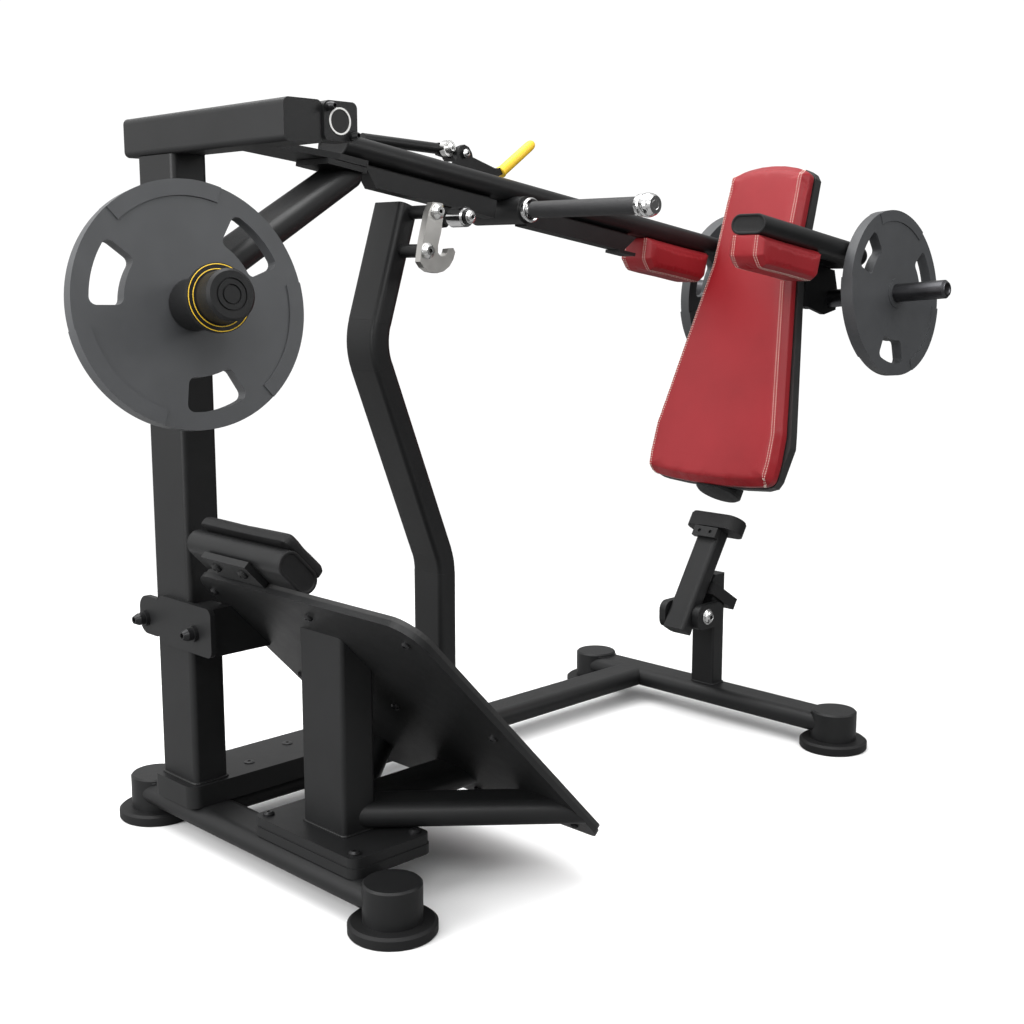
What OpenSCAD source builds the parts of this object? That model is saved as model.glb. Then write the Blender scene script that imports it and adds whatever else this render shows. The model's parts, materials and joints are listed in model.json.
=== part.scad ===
// Plate-loaded pendulum squat machine, as an assembly of separate pieces.
// Millimetres, +Z up. Floor at z = 0, +X runs from the footplate to the weight discs.
// The lifting arm turns about a shaft along Y at the head of the upright.

/* [Base] */
// spacing of the front and rear crossbars along X
base_len = 1493; // [1300:1:1700]
// distance of each foot from the middle plane
foot_y = 414.5; // [350:0.5:480]
// width of the flat-sided oval tube used through the frame
tube_w = 105; // [90:1:120]
// thickness of the crossbars and of the floor beam
bar_t = 50; // [40:1:60]

/* [Upright] */
// height of the pivot shaft above the floor
pivot_z = 1494; // [1400:1:1600]
// distance of the pivot shaft behind the front crossbar
pivot_x = 76; // [60:1:100]
// radius of the pivot shaft in its bearings
shaft_r = 20; // [15:0.5:30]
// radial running clearance of every turning fit
run_gap = 0.05; // [0.02:0.01:0.1]

/* [Footplate] */
// slope of the footplate above the floor, in degrees
foot_slope = 46.2; // [35:0.1:55]
// width of the footplate across the machine
foot_w = 688; // [500:1:800]
// length of the footplate along its slope
foot_len = 722; // [600:1:800]

/* [Arm] */
// tilt of the arm tubes below level at the parked position, in degrees
arm_tilt = 8.68; // [5:0.01:12]
// thickness of the oval arm tubes
arm_t = 52; // [45:1:60]
// distance of each arm tube from the middle plane
arm_y = 188; // [160:1:220]

/* [Weights] */
// radius of a weight plate
plate_r = 225; // [200:1:225]
// thickness of a weight plate
plate_t = 35.3; // [25:0.1:60]
// radius of the bars that carry the weight plates
horn_r = 25; // [24:0.5:25]
// upward tilt of the weight bars, in degrees
horn_tilt = 4.8; // [0:0.1:8]

/* [Pads] */
// lean of the back pad from vertical, in degrees
pad_lean = 17.3; // [10:0.1:25]
// thickness of the back pad cushion
pad_t = 50; // [40:1:70]
// thickness of the moulded board behind the cushion
board_t = 28; // [12:1:35]

/* [Hidden] */
$fn = 64;
origin_x = 869.79;
origin_y = -22.46;
arm_a = [cos(arm_tilt), 0, -sin(arm_tilt)];
arm_n = [sin(arm_tilt), 0, cos(arm_tilt)];
arm_org = [740, 0, 1461];
base_z = 40 + bar_t;
foot_org = [-60, 0, 531 + 1.043 * 78];
pad_org = [1457, 0, 671];
can_r = 57.6;
bar_end = tube_w / 2;
disc_face_y = 288;
disc_z = 1162;
disc_x = 1929.7;

// ---- shared shapes -------------------------------------------------------
module oval(w, t) {
  square([w - t, t], center = true);
  for (s = [-1, 1]) translate([s * (w - t) / 2, 0]) circle(d = t);
}
module rrect(w, t, r) {
  square([w - 2 * r, t], center = true);
  square([w, t - 2 * r], center = true);
  for (i = [-1, 1], j = [-1, 1]) translate([i * (w / 2 - r), j * (t / 2 - r)]) circle(r = r);
}
// a bar from p to q; the 2D child's Y lies level across the bar
module run(p, q) {
  d = q - p;
  len = norm(d);
  translate(p) rotate([0, acos(d[2] / len), atan2(d[1], d[0])])
    linear_extrude(len) children();
}
module oval_run(p, q, w = tube_w, t = arm_t) run(p, q) rotate(90) oval(w, t);
// a cylinder from p along direction d
module peg(p, d, len, r, r2 = -1) {
  n = norm(d);
  translate(p) rotate([0, acos(d[2] / n), atan2(d[1], d[0])])
    cylinder(h = len, r1 = r, r2 = r2 < 0 ? r : r2);
}
// a flat part: outline in X and Z, from y0 to y1
module slab_y(y0, y1) translate([0, y1, 0]) rotate([90, 0, 0]) linear_extrude(y1 - y0) children();
// button-head bolt seated at p and pointing along d, with a hex socket
module bolt(p, d, r = 11, h = 7, sock = 4.2) {
  n = norm(d);
  translate(p) rotate([0, acos(d[2] / n), atan2(d[1], d[0])]) difference() {
    union() {
      cylinder(h = h * 0.5, r = r);
      translate([0, 0, h * 0.5]) cylinder(h = h * 0.5, r1 = r, r2 = r * 0.62);
    }
    translate([0, 0, h * 0.35]) cylinder(h = h, r = sock, $fn = 6);
  }
}
// frames that follow the arm, the footplate and the back pad
function arm_pt(x, y, n) = [x, y, arm_org[2] - tan(arm_tilt) * (x - arm_org[0])] + n * arm_n;
module in_arm(x, y = 0) translate(arm_pt(x, y, 0)) rotate([0, arm_tilt, 0]) children();
module in_foot(y = 0) translate(foot_org + [0, y, 0]) rotate([0, foot_slope, 0]) children();
module in_pad() translate(pad_org) rotate([0, pad_lean, 0]) children();
module under_foot() in_foot() translate([-400, -900, -1500]) cube([2200, 1800, 1500]);

// ---- base ----------------------------------------------------------------
module crossbar(x) difference() {
  translate([x, -foot_y, base_z - bar_t / 2]) rotate([-90, 0, 0])
    linear_extrude(2 * foot_y) oval(tube_w, bar_t);
  for (s = [-1, 1]) translate([x, s * foot_y, 0]) cylinder(h = 200, r = can_r);
}
module front_crossbar() color([0.05, 0.05, 0.06]) crossbar(0);
module rear_crossbar() color([0.05, 0.05, 0.06]) crossbar(base_len);
module floor_beam() color([0.05, 0.05, 0.06]) difference() {
  translate([0, 251, base_z - bar_t / 2]) rotate([90, 0, 90])
    linear_extrude(base_len) oval(tube_w, bar_t);
  for (x = [0, base_len]) translate([x, -foot_y, base_z - bar_t / 2]) rotate([-90, 0, 0])
    linear_extrude(2 * foot_y) oval(tube_w, bar_t);
}
module at_feet() for (x = [0, base_len], s = [-1, 1]) translate([x, s * foot_y, 0]) children();
module foot_cans() color([0.05, 0.05, 0.06]) at_feet() {
  translate([0, 0, 25]) cylinder(h = 71, r = can_r);
  translate([0, 0, 96]) cylinder(h = 4, r1 = can_r, r2 = can_r - 4);
}
module foot_pads() color([0.06, 0.06, 0.06]) at_feet() {
  cylinder(h = 4, r1 = 83, r2 = 86);
  translate([0, 0, 4]) cylinder(h = 16, r = 86);
  translate([0, 0, 20]) cylinder(h = 5, r1 = 86, r2 = 80);
}
module base_beam() color([0.05, 0.05, 0.06]) {
  translate([-60, 172, base_z]) linear_extrude(48) {
    translate([25, 0]) square([755, 160]);
    translate([0, 25]) square([26, 110]);
    for (j = [25, 135]) translate([25, j]) circle(r = 25);
  }
  post_foot();
}
module frame_bolts() color([0.55, 0.55, 0.57]) {
  for (p = [[124, 228], [261, 274]]) bolt([p[0], p[1], base_z + 48], [0, 0, 1], 12, 3);
  for (x = [-15, 135], y = [-323, -43]) bolt([x, y, 130], [0, 0, 1], 12, 7);
  in_foot() for (x = [55, 362, 692], y = [-490, -205, 115]) bolt([x, y, 0], [0, 0, -1], 9, 7);
}

// ---- upright and bearings ------------------------------------------------
module upright() color([0.05, 0.05, 0.06])
  translate([0, 251.25, base_z + 48]) linear_extrude(1314) rrect(82, 133.5, 12);
module box_beam() color([0.05, 0.05, 0.06])
  translate([-3, -199, 1491]) rotate([-90, 0, 0]) linear_extrude(556) rrect(86, 78, 12);
module housing_block(y0, y1) difference() {
  slab_y(y0, y1) translate([78.5, pivot_z]) rrect(77, 72, 12);
  translate([pivot_x, y0 - 1, pivot_z]) rotate([-90, 0, 0])
    cylinder(h = y1 - y0 + 2, r = shaft_r + run_gap);
}
module bearing_housings() color([0.06, 0.06, 0.07]) {
  housing_block(-205, -152);
  housing_block(307, 352);
}
module bearing_ring() color([0.85, 0.85, 0.83])
  for (y = [-206.5, 352]) translate([pivot_x, y, pivot_z]) rotate([-90, 0, 0]) difference() {
    cylinder(h = 1.5, r = 24.7);
    translate([0, 0, -1]) cylinder(h = 4, r = 21.6);
  }
module bearing_bolts() color([0.1, 0.1, 0.1])
  for (p = [[50, 1519], [104, 1469]]) bolt([p[0], -205, p[1]], [0, -1, 0], 8, 20, 4);

// ---- curved post with the catch hook -------------------------------------
// centre line of the post: points in X and Z, joined by bends of one radius
post_pts = [[647, 138], [647, 531], [441.6, 1057], [540, 1367]];
post_r = 150;
function dir2(i) = (post_pts[i + 1] - post_pts[i]) / norm(post_pts[i + 1] - post_pts[i]);
function ang2(i) = atan2(dir2(i)[1], dir2(i)[0]);
function cut_back(i) = i < 1 || i > 2 ? 0 : post_r * tan(abs(ang2(i) - ang2(i - 1)) / 2);
module post_len(i) {
  p = post_pts[i] + cut_back(i) * dir2(i);
  len = norm(post_pts[i + 1] - post_pts[i]) - cut_back(i) - cut_back(i + 1);
  translate([p[0], p[1], 0]) rotate([0, 0, ang2(i)]) rotate([0, 90, 0])
    translate([0, 0, i > 0 ? -1 : 0]) linear_extrude(len + 2) rrect(tube_w, 54, 14);
}
module post_bend(i) {
  turn = ang2(i) - ang2(i - 1);
  side = turn > 0 ? 1 : -1;
  p = post_pts[i] - cut_back(i) * dir2(i - 1);
  c = p + side * post_r * [-dir2(i - 1)[1], dir2(i - 1)[0]];
  first = ang2(turn > 0 ? i - 1 : i) - side * 90;
  translate([c[0], c[1], 0]) rotate([0, 0, first]) rotate_extrude(angle = abs(turn))
    translate([post_r, 0]) rotate(90) rrect(tube_w - 0.6, 53.4, 14);
}
module curved_post() color([0.05, 0.05, 0.06]) translate([0, 187.5, 0]) rotate([90, 0, 0]) {
  for (i = [0:2]) post_len(i);
  for (i = [1, 2]) post_bend(i);
}
module post_foot() difference() {
  translate([647, 196, 138]) linear_extrude(12) rrect(130, 160, 16);
  translate([0, 187.5, 0]) rotate([90, 0, 0]) post_len(0);
}
hook_pts = [[520, 1352], [502, 1289], [493, 1242], [504, 1229], [520, 1220], [543, 1217],
  [562, 1221], [580, 1232], [592, 1248], [598, 1264], [592, 1273], [576, 1271], [573, 1262],
  [564, 1254], [554, 1254], [546, 1262], [546, 1277], [556, 1308], [562, 1340], [566, 1358],
  [560, 1370], [532, 1372]];
hook_at = [[514, 1266], [545, 1352]];
module hook_plate() color([0.5, 0.5, 0.5]) difference() {
  slab_y(52, 70) polygon(hook_pts);
  for (p = hook_at) translate([p[0], 40, p[1]]) rotate([-90, 0, 0]) cylinder(h = 50, r = 6);
}
module hook_standoffs() color([0.05, 0.05, 0.06])
  for (p = hook_at) peg([p[0], 70, p[1]], [0, 1, 0], 65, 15);
module hook_bolts() color([0.6, 0.6, 0.62]) for (p = hook_at) {
  peg([p[0], 52, p[1]], [0, 1, 0], 18, 6);
  bolt([p[0], 52, p[1]], [0, -1, 0], 17, 12, 5);
}

// ---- footplate support ---------------------------------------------------
module column() color([0.05, 0.05, 0.06]) intersection() {
  translate([58, -183, 130]) linear_extrude(420) rrect(80, 134, 9);
  under_foot();
}
module flange_sheet(z) translate([60, -185, z]) linear_extrude(20) rrect(200, 330, 22);
module flange_plates() color([0.05, 0.05, 0.06]) {
  flange_sheet(90);
  translate([60, -185, 110]) linear_extrude(20) rrect(196, 326, 20);
}
module strut(a, l) translate([58, -183, 159]) rotate([0, 0, a]) rotate([90, 0, 90])
  linear_extrude(l) oval(tube_w, arm_t);
module footplate_struts() color([0.05, 0.05, 0.06]) difference() {
  intersection() {
    union() { strut(0, 460); strut(-42, 560); strut(42, 560); }
    under_foot();
    translate([-100, -800, 0]) cube([900, 950, 400]);
  }
  translate([58, -183, 100]) linear_extrude(500) rrect(80, 134, 9);
}
module tie_beam() color([0.05, 0.05, 0.06]) intersection() {
  translate([-41, 112, 433]) cube([150, 72.5, 102]);
  under_foot();
}
module clamp_plates() color([0.05, 0.05, 0.06]) {
  translate([-53, 226, 489]) rotate([90, 0, 90]) linear_extrude(12) union() {
    translate([-38, 0]) rrect(200, 104, 16);
    translate([92, 0]) rrect(94, 84, 30);
  }
  translate([41, 276, 489]) rotate([90, 0, 90]) linear_extrude(12) rrect(180, 104, 16);
}
module clamp_bolts() color([0.6, 0.6, 0.62]) {
  for (y = [150, 340]) {
    peg([-53, y, 481], [-1, 0, 0], 8, 17);
    bolt([-61, y, 481], [-1, 0, 0], 13, 22, 6);
  }
  peg([-41, 340, 481], [1, 0, 0], 82, 8);
  bolt([53, 340, 481], [1, 0, 0], 13, 14, 6);
}
module foot_outline(g) difference() {
  square([foot_len - 2 * g, foot_w - 2 * g], center = true);
  for (s = [-1, 1]) translate([-foot_len / 2 + 65, s * (foot_w / 2 - 65)]) difference() {
    translate([-66, s > 0 ? 0 : -66]) square([66, 66]);
    circle(r = 65 - g);
  }
  for (s = [-1, 1]) translate([foot_len / 2 - 25, s * (foot_w / 2 - 25)]) difference() {
    translate([0, s > 0 ? 0 : -26]) square([26, 26]);
    circle(r = 25 - g);
  }
}
module footplate_steel() color([0.05, 0.05, 0.06])
  in_foot(-196) translate([foot_len / 2, 0, 0]) linear_extrude(12) foot_outline(0);
module footplate_rubber() color([0.04, 0.04, 0.04])
  in_foot(-196) translate([foot_len / 2, 0, 12]) linear_extrude(10) foot_outline(3);

// ---- calf block at the head of the footplate -----------------------------
module calf_tube() color([0.05, 0.05, 0.06]) {
  in_foot() translate([-20, -195, 48]) rotate([-90, 0, 0]) linear_extrude(307) oval(tube_w, arm_t);
  calf_bracket();
}
module calf_pad() color([0.05, 0.05, 0.05]) in_foot() translate([-20, -41, 74]) {
  linear_extrude(17) rrect(122, 300, 12);
  translate([0, 0, 17]) linear_extrude(8) rrect(112, 290, 12);
}
module calf_bracket() in_foot() {
  translate([-66, -110, 8]) cube([64, 150, 14]);
  for (y = [-80, 10]) bolt([-40, y, 8], [0, 0, -1], 11, 8);
}

// ---- stop stand ----------------------------------------------------------
stop_d = [0.53, 0, 0.848];
module in_stop() translate([1356, 0, 260]) rotate([0, 32, 0]) children();
module stop_post() color([0.05, 0.05, 0.06]) difference() {
  translate([1494, 0, base_z]) linear_extrude(312) rrect(52, 74, 8);
  in_stop() translate([-300, -100, -200]) cube([326.5, 200, 900]);
}
module ear(s, g) translate([s > 0 ? 1430 : 1429, 297])
  rrect((s > 0 ? 158 : 112) + g, (s > 0 ? 74 : 66) + g, 25);
module stop_ears() color([0.06, 0.06, 0.07])
  for (s = [-1, 1]) difference() {
    slab_y(s > 0 ? 37 : -58, s > 0 ? 58 : -37) ear(s, 0);
    translate([1416, -80, 298]) rotate([-90, 0, 0]) cylinder(h = 160, r = 10 + run_gap);
  }
module stop_rest_block() color([0.05, 0.05, 0.05]) difference() {
  in_stop() translate([27.5, -50, 128]) cube([112, 100, 32]);
  for (s = [-1, 1]) slab_y(s > 0 ? 36.5 : -58, s > 0 ? 58 : -36.5) ear(s, 2);
  translate([1494, 0, base_z]) linear_extrude(400) rrect(52, 74, 8);
}
module stop_pivot_bolt() color([0.65, 0.65, 0.67]) {
  peg([1416, -58, 298], [0, 1, 0], 116, 10);
  bolt([1416, -58, 298], [0, -1, 0], 18, 10, 6);
  bolt([1416, 58, 298], [0, 1, 0], 18, 10, 6);
}
module stop_tube() color([0.05, 0.05, 0.06]) difference() {
  union() {
    in_stop() linear_extrude(299) rrect(51, 72, 14);
    translate([1416, -36, 298]) rotate([-90, 0, 0]) cylinder(h = 72, r = 26);
  }
  translate([1416, -80, 298]) rotate([-90, 0, 0]) cylinder(h = 160, r = 10 + run_gap);
}
module stop_clamp_block() color([0.06, 0.06, 0.07])
  in_stop() difference() {
    translate([-41.5, -39, 266]) cube([16, 78, 29]);
    for (y = [-18, 18]) translate([-50, y, 281]) rotate([0, 90, 0]) cylinder(h = 14, r = 5);
  }
module stop_bumper() color([0.04, 0.04, 0.04]) in_stop() {
  translate([0, 0, 299]) linear_extrude(36) rrect(76, 170, 36);
  translate([0, 0, 335]) linear_extrude(5) rrect(70, 164, 33);
}

// ---- lifting arm ---------------------------------------------------------
module pivot_shaft() color([0.1, 0.1, 0.11]) {
  translate([pivot_x, -151.5, pivot_z]) rotate([-90, 0, 0]) cylinder(h = 458, r = 34);
  translate([pivot_x, -205, pivot_z]) rotate([-90, 0, 0]) cylinder(h = 557, r = shaft_r);
}
module arm_plates() color([0.06, 0.06, 0.07]) difference() {
  union() {
    in_arm(740) translate([0, 0, -arm_t - 14]) linear_extrude(14)
      polygon([[-640, 214], [-640, 300], [-560, 300], [-322, 246], [-322, 128], [-400, 128],
        [-470, 150]]);
    in_arm(740) translate([-428, 130, -arm_t - 27]) cube([106, 116, 12]);
  }
  translate([pivot_x, -300, pivot_z]) rotate([-90, 0, 0]) cylinder(h = 700, r = 34);
}
module arm_plate_bolts() color([0.55, 0.55, 0.57]) in_arm(740) {
  for (p = [[-560, 270], [-480, 262]]) bolt([p[0], p[1], -arm_t], [0, 0, 1], 11, 8);
}
cross_at = 1175;
bend_r = 90;
leg_end = cross_at - bend_r;
module main_arm_tube() color([0.05, 0.05, 0.06]) in_arm(740)
  translate([-374, arm_y, -arm_t / 2]) rotate([90, 0, 90])
    linear_extrude(374 + leg_end) oval(tube_w, arm_t);
module under_channel() color([0.05, 0.05, 0.06]) {
  in_arm(740) translate([0, 160, 0]) {
    slab_y(-20, 20) polygon([[-321, -arm_t - 9], [84, -arm_t - 9], [84, -arm_t - 51],
      [-284, -arm_t - 51]]);
    slab_y(-20, 20) polygon([[192, -arm_t - 9], [606, -arm_t - 9], [560, -arm_t - 51],
      [192, -arm_t - 51]]);
    for (x = [-320, 192]) translate([x, 4, -arm_t - 10]) cube([404, 12, 10]);
    translate([540, -26, -arm_t - 59]) cube([62, 52, 8]);
  }
}
cw_a = -6.7;
cw_b = 7.8;
cw_from = [352, 180, 1411];
cw_hub = [-192, -20, 1162];
cw_face = [-192, -113.5, 1162];
cw_dir = [sin(cw_a) * cos(cw_b), -cos(cw_a) * cos(cw_b), sin(cw_b)];
module counterweight_arm() color([0.05, 0.05, 0.06]) difference() {
  oval_run(cw_from + 0.2 * (cw_from - cw_hub), cw_hub);
  peg(cw_face - 120 * cw_dir, cw_dir, 400, 34);
  peg(cw_face - 62 * cw_dir, cw_dir, 400, 74);
  in_arm(740) translate([-900, -300, -arm_t - 27]) cube([1200, 900, 300]);
  in_arm(740) translate([-322, -300, -400]) cube([600, 900, 600]);
}
module in_cw() translate(cw_face) rotate([0, 0, cw_a]) rotate([90 - cw_b, 0, 0]) children();
module counterweight_spindle() color([0.06, 0.06, 0.06]) in_cw() {
  translate([0, 0, -128]) cylinder(h = 68, r = 34);
  translate([0, 0, -60]) cylinder(h = 200, r = horn_r);
}
module counterweight_collar() color([0.04, 0.04, 0.04]) in_cw() difference() {
  union() {
    translate([0, 0, -60]) cylinder(h = 60 - plate_t, r = 46);
    cylinder(h = 95, r = 47);
    translate([0, 0, 95]) cylinder(h = 10, r = 61);
    translate([0, 0, 105]) cylinder(h = 42, r = 46);
    translate([0, 0, 147]) cylinder(h = 5, r1 = 46, r2 = 41);
  }
  translate([0, 0, -200]) cylinder(h = 340, r = horn_r);
  for (r = [15, 26]) translate([0, 0, 149]) difference() {
    cylinder(h = 5, r = r + 3);
    translate([0, 0, -1]) cylinder(h = 7, r = r);
  }
}
// tri-grip weight plate, outer face at z = 0, bore radius r
function pol(r, t) = [r * cos(t), r * sin(t)];
// rounded ring sector of half angle a, from radius r1 to r2, with corner radius rc
function sector(a, r1, r2, rc) = let (o = a - asin(rc / (r2 - rc)), i = a - asin(rc / (r1 + rc)))
  concat(
    [for (k = [0:8]) pol(r2, -o + 2 * o * k / 8)],
    [for (k = [1:5]) pol(r2 - rc, o) + pol(rc, o + (a + 90 - o) * k / 5)],
    [for (k = [0:5]) pol(r1 + rc, i) + pol(rc, a + 90 + (i + 90 - a) * k / 5)],
    [for (k = [1:7]) pol(r1, i - 2 * i * k / 8)],
    [for (k = [0:5]) pol(r1 + rc, -i) + pol(rc, -i - 180 + (90 + i - a) * k / 5)],
    [for (k = [0:4]) pol(r2 - rc, -o) + pol(rc, -a - 90 + (a + 90 - o) * k / 5)]);
module face_cut() difference() {
  union() {
    circle(r = plate_r * 0.87);
    for (a = [0, 120, 240]) rotate(a) polygon([[0, 0], pol(2 * plate_r, 10), pol(2 * plate_r, 70)]);
  }
  circle(r = 40);
}
module plate(r, turn = 0) difference() {
  translate([0, 0, -plate_t]) cylinder(h = plate_t, r = plate_r);
  translate([0, 0, -plate_t - 1]) cylinder(h = plate_t + 2, r = r);
  for (z = [-plate_t - 1, -3]) translate([0, 0, z]) rotate(turn) linear_extrude(4) face_cut();
  translate([0, 0, -plate_t - 1]) linear_extrude(plate_t + 2) for (a = [40, 160, 280])
    rotate(a + turn) polygon(sector(19, plate_r * 0.575, plate_r * 0.855, plate_r * 0.06));
}
module counterweight_disc() color([0.13, 0.13, 0.14]) in_cw() plate(horn_r);
// weight bars: s = -1 near side, 1 far side; local +z points out along the bar
module in_horn(s) translate([disc_x, 0, disc_z - disc_face_y * tan(horn_tilt)])
  rotate([-s * 90 + s * horn_tilt, 0, 0]) children();
face_l = disc_face_y / cos(horn_tilt);
module near_plate() color([0.13, 0.13, 0.14]) in_horn(-1) translate([0, 0, face_l])
  plate(horn_r + run_gap, -22);
module far_plate() color([0.13, 0.13, 0.14]) in_horn(1) translate([0, 0, face_l])
  plate(horn_r + run_gap, 35);
// each bar has a groove just outside its plate, and a free end 140 mm long
module horn_bars() color([0.3, 0.3, 0.32]) difference() {
  for (s = [-1, 1]) in_horn(s) {
    cylinder(h = face_l + 145, r = horn_r);
    translate([0, 0, face_l + 145]) cylinder(h = 5, r1 = horn_r, r2 = horn_r - 5);
    translate([0, 0, face_l - plate_t - 9]) cylinder(h = 9, r = 44);
  }
  for (s = [-1, 1]) in_horn(s) translate([0, 0, face_l + 2]) difference() {
    cylinder(h = 3, r = horn_r + 2);
    translate([0, 0, -1]) cylinder(h = 5, r = horn_r - 1);
  }
}
module horn_hangers() color([0.05, 0.05, 0.06]) difference() {
  for (s = [-1, 1]) slab_y(s * 70 - 7, s * 70 + 7)
    polygon([[1830, 1260], [1940, 1245], [1966, 1160], [1958, 1112], [1900, 1100], [1815, 1124],
      [1800, 1180]]);
  for (s = [-1, 1]) in_horn(s) cylinder(h = 400, r = horn_r);
  in_arm(740) translate([0, -300, -arm_t]) cube([2000, 600, 200]);
}
module yoke_half() {
  translate([cross_at - bend_r, -arm_y + 0, -arm_t / 2]) {
    translate([0, bend_r, 0]) rotate([0, 0, -90]) rotate_extrude(angle = 90)
      translate([bend_r, 0]) oval(tube_w, arm_t);
  }
  translate([cross_at, -arm_y + bend_r, -arm_t / 2]) rotate([-90, 0, 0])
    linear_extrude(arm_y - bend_r) oval(tube_w, arm_t);
}
module yoke() color([0.05, 0.05, 0.06]) in_arm(740) {
  yoke_half();
  mirror([0, 1, 0]) yoke_half();
  translate([647.4, -arm_y, -arm_t / 2]) rotate([90, 0, 90])
    linear_extrude(leg_end - 647.4) oval(tube_w, arm_t);
}
// ---- pads ----------------------------------------------------------------
// half of the back pad's outline, from the middle of its foot to the middle of its head
pad_half = [[0, -14], [100, -12], [170, -7], [196, 2], [206, 20], [222, 112], [216, 150],
  [133, 600], [130, 760], [127, 850], [114, 868], [92, 876], [46, 881], [0, 883]];
module pad_outline(g) {
  n = len(pad_half) - 1;
  polygon([for (p = concat(pad_half, [for (k = [1:n - 1]) [-pad_half[n - k][0],
    pad_half[n - k][1]]])) [p[0] * (1 - g / 200), 430 + (p[1] - 430) * (1 - g / 430)]]);
}
module back_pad() color([0.55, 0.06, 0.08]) in_pad() rotate([90, 0, 90])
  linear_extrude(pad_t) pad_outline(0);
module back_board() color([0.03, 0.03, 0.03]) in_pad() translate([pad_t, 0, 0])
  rotate([90, 0, 90]) linear_extrude(board_t) pad_outline(-1);
module bumper_frame() translate([1524, 0, 617]) rotate([0, 31, 0]) children();
module pad_spine() color([0.05, 0.05, 0.06]) {
  intersection() {
    in_pad() translate([pad_t + board_t, -40, 0]) cube([45, 80, 800]);
    bumper_frame() translate([-400, -400, 40]) cube([900, 800, 1200]);
  }
  difference() {
    bumper_frame() translate([0, 0, 30]) cylinder(h = 10, r = 50);
    in_pad() translate([-500, -400, -200]) cube([500 + pad_t + board_t, 800, 1500]);
  }
  difference() {
    in_pad() translate([pad_t + board_t + 45, -60, 655]) cube([160, 120, 52]);
    in_arm(740) translate([cross_at, -300, -arm_t / 2]) rotate([-90, 0, 0])
      linear_extrude(600) oval(tube_w, arm_t);
    in_arm(740) translate([cross_at, -300, -200]) cube([600, 600, 400]);
  }
}
module shoulder_pads() color([0.55, 0.06, 0.08]) intersection() {
  in_arm(740) for (s = [-1, 1]) translate([s > 0 ? 657 : 647, s * 184, -arm_t - (s > 0 ? 83 : 78)])
    rotate([90, 0, 90]) linear_extrude(320) translate([0, 39]) rrect(100, 78, 14);
  in_pad() translate([-2000.6, -400, -500]) cube([2000, 800, 2000]);
}
module pad_bumper() color([0.04, 0.04, 0.04]) difference() {
  bumper_frame() {
    cylinder(h = 5, r1 = 58, r2 = 64);
    translate([0, 0, 5]) cylinder(h = 25, r = 64);
  }
  in_pad() translate([-500, -400, -16]) cube([500 + pad_t + board_t, 800, 1500]);
}

// ---- turning handle ------------------------------------------------------
hand_x = 879;
hand_z = 1366;
module at_hand(y) translate([hand_x, y, hand_z]) rotate([-90, 0, 0]) children();
module handle_housing() color([0.06, 0.06, 0.07]) difference() {
  at_hand(104) cylinder(h = 171, r = 33);
  at_hand(90) cylinder(h = 250, r = 14 + run_gap);
  in_arm(740) translate([0, arm_y, -arm_t / 2]) rotate([90, 0, 90])
    linear_extrude(400) oval(tube_w, arm_t);
}
module handle_bar() color([0.6, 0.6, 0.62]) {
  at_hand(-250) cylinder(h = 560, r = 14);
  at_hand(92) cylinder(h = 11, r = 27);
  at_hand(276) cylinder(h = 12, r = 22);
  at_hand(-290) cylinder(h = 40, r = 24);
  at_hand(-296) cylinder(h = 6, r1 = 20, r2 = 24);
}
module handle_grip() color([0.04, 0.04, 0.04]) difference() {
  at_hand(-250) cylinder(h = 330, r = 20);
  at_hand(-260) cylinder(h = 400, r = 14);
}

// ---- catch roller and release lever --------------------------------------
lev = [764, 1497];
module catch_bracket() color([0.06, 0.06, 0.07]) {
  in_arm(740) slab_y(146, 158) polygon([[-104, -103], [-42, -103], [-50, -138], [-60, -150],
    [-71, -153], [-82, -150], [-92, -138]]);
  peg([650, 66, 1343], [0, 1, 0], 80, 10);
  peg([650, 120.5, 1343], [0, 1, 0], 25.5, 15);
  peg([650, 58, 1343], [0, 1, 0], 8, 16);
  lever_lug();
}
module lever_lug() {
  slab_y(198, 212) polygon([[732, 1462.3], [802, 1451.6], [788, 1500], [778, 1513], [764, 1518],
    [750, 1513], [742, 1500]]);
  peg([lev[0], 192, lev[1]], [0, 1, 0], 76, 8);
}
module catch_roller() color([0.5, 0.5, 0.52]) difference() {
  union() {
    peg([650, 67, 1343], [0, 1, 0], 4, 19);
    peg([650, 71, 1343], [0, 1, 0], 44, 22.5);
    peg([650, 115, 1343], [0, 1, 0], 5, 19);
  }
  peg([650, 40, 1343], [0, 1, 0], 100, 10 + run_gap);
}
module lever_arm() slab_y(234, 250) polygon([[764, 1482], [905, 1450], [934, 1462], [926, 1476],
  [905, 1470], [764, 1512]]);
module release_lever() color([0.05, 0.05, 0.06]) difference() {
  union() {
    peg([lev[0], 220, lev[1]], [0, 1, 0], 42, 16);
    lever_arm();
    slab_y(234, 250) polygon([[764, 1484], [716, 1494], [716, 1522], [764, 1512]]);
    peg([489, 242, 1517], [241, 0, -9], 241, 12.9);
  }
  peg([lev[0], 150, lev[1]], [0, 1, 0], 200, 8 + run_gap);
}
module lever_eye() color([0.6, 0.6, 0.62]) {
  peg([730, 213, 1508], [0, 1, 0], 16, 19);
  bolt([730, 213, 1508], [0, -1, 0], 11.5, 12, 5);
}
module lever_grip() color([0.85, 0.7, 0.08]) difference() {
  union() {
    peg([926, 242, 1463], [113, 0, 77], 128, 13, 12);
    translate([1031.6, 242, 1535]) sphere(r = 12);
  }
  lever_arm();
}

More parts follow.
